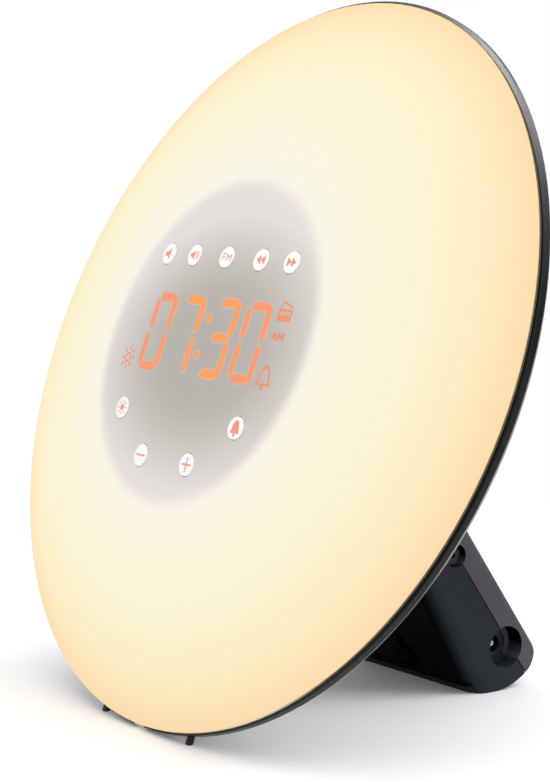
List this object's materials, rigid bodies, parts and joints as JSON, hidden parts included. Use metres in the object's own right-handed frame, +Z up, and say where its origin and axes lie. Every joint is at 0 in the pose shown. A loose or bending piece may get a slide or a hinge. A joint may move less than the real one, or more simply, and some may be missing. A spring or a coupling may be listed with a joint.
{
  "type": "sunrise alarm clock",
  "caption": "Round domed sunrise alarm clock lamp leaning back on a hollow wedge leg, with an orange digital display and push buttons on its glowing face.",
  "frame": {"origin": "on the table, under the middle of the whole clock's width and depth", "axes": "+X to the right as seen facing the display, +Y to the back, where the leg stands, +Z up"},
  "size_m": [0.267, 0.153, 0.2485],
  "materials": {
    "black_rubber": "matte",
    "bright_metal": "polished",
    "button_white": "satin",
    "cable_black": "satin",
    "cable_grey": "satin",
    "capacitor_sleeve": "gloss",
    "carbon": "matte",
    "cone_paper": "matte",
    "dark_plastic": "matte",
    "foam_black": "matte",
    "gloss_black": "gloss",
    "green_board": "satin",
    "grey_rubber": "matte",
    "jack_plastic": "satin",
    "led_yellow": "satin",
    "lit_orange": "satin",
    "opal": "satin",
    "satin_black": "satin",
    "screw_steel": "satin",
    "steel": "satin",
    "unlit_grey": "satin",
    "white_board": "satin",
    "white_plastic": "satin"
  },
  "bodies": {
    "clock": {"aerial_grommet": "black_rubber", "board_screws": "screw_steel", "contact_pills": "carbon", "dc_jack": "jack_plastic", "dc_jack_pin": "bright_metal", "diffuser": "opal", "digit_block": "dark_plastic", "display_board": "green_board", "display_header": "dark_plastic", "display_shroud": "dark_plastic", "indicator_icons": "lit_orange", "jack_lead": "cable_black", "keypad_mat": "grey_rubber", "led_board": "white_board", "led_chips": "led_yellow", "leg_cover": "satin_black", "leg_cover_screws": "screw_steel", "leg_housing": "satin_black", "leg_mount_screws": "screw_steel", "leg_sole_pad": "black_rubber", "leg_sole_plate": "satin_black", "main_board": "green_board", "main_board_parts": "dark_plastic", "rear_shell": "gloss_black", "reflector": "white_plastic", "reserve_capacitor": "capacitor_sleeve", "ribbon_cable": "cable_grey", "rim_feet": "black_rubber", "segments_dark": "unlit_grey", "segments_lit": "lit_orange", "shell_screws": "screw_steel", "speaker_cone": "cone_paper", "speaker_frame": "steel", "speaker_gasket": "foam_black", "speaker_lead": "cable_black"},
    "button_alarm": {"button_alarm": "button_white"},
    "button_light": {"button_light": "button_white"},
    "button_minus": {"button_minus": "button_white"},
    "button_next": {"button_next": "button_white"},
    "button_plus": {"button_plus": "button_white"},
    "button_previous": {"button_previous": "button_white"},
    "button_radio": {"button_radio": "button_white"},
    "button_volume_down": {"button_volume_down": "button_white"},
    "button_volume_up": {"button_volume_up": "button_white"}
  },
  "joints": [
    {"name": "press_alarm", "type": "slide", "parent": "clock", "child": "button_alarm", "axis": [0, 0.9272, -0.3746], "range_m": [0, 0.0006], "stiffness_N_per_m": 1000},
    {"name": "press_light", "type": "slide", "parent": "clock", "child": "button_light", "axis": [0, 0.9272, -0.3746], "range_m": [0, 0.0006], "stiffness_N_per_m": 1000},
    {"name": "press_minus", "type": "slide", "parent": "clock", "child": "button_minus", "axis": [0, 0.9272, -0.3746], "range_m": [0, 0.0006], "stiffness_N_per_m": 1000},
    {"name": "press_next", "type": "slide", "parent": "clock", "child": "button_next", "axis": [0, 0.9272, -0.3746], "range_m": [0, 0.0006], "stiffness_N_per_m": 1000},
    {"name": "press_plus", "type": "slide", "parent": "clock", "child": "button_plus", "axis": [0, 0.9272, -0.3746], "range_m": [0, 0.0006], "stiffness_N_per_m": 1000},
    {"name": "press_previous", "type": "slide", "parent": "clock", "child": "button_previous", "axis": [0, 0.9272, -0.3746], "range_m": [0, 0.0006], "stiffness_N_per_m": 1000},
    {"name": "press_radio", "type": "slide", "parent": "clock", "child": "button_radio", "axis": [0, 0.9272, -0.3746], "range_m": [0, 0.0006], "stiffness_N_per_m": 1000},
    {"name": "press_volume_down", "type": "slide", "parent": "clock", "child": "button_volume_down", "axis": [0, 0.9272, -0.3746], "range_m": [0, 0.0006], "stiffness_N_per_m": 1000},
    {"name": "press_volume_up", "type": "slide", "parent": "clock", "child": "button_volume_up", "axis": [0, 0.9272, -0.3746], "range_m": [0, 0.0006], "stiffness_N_per_m": 1000}
  ]
}
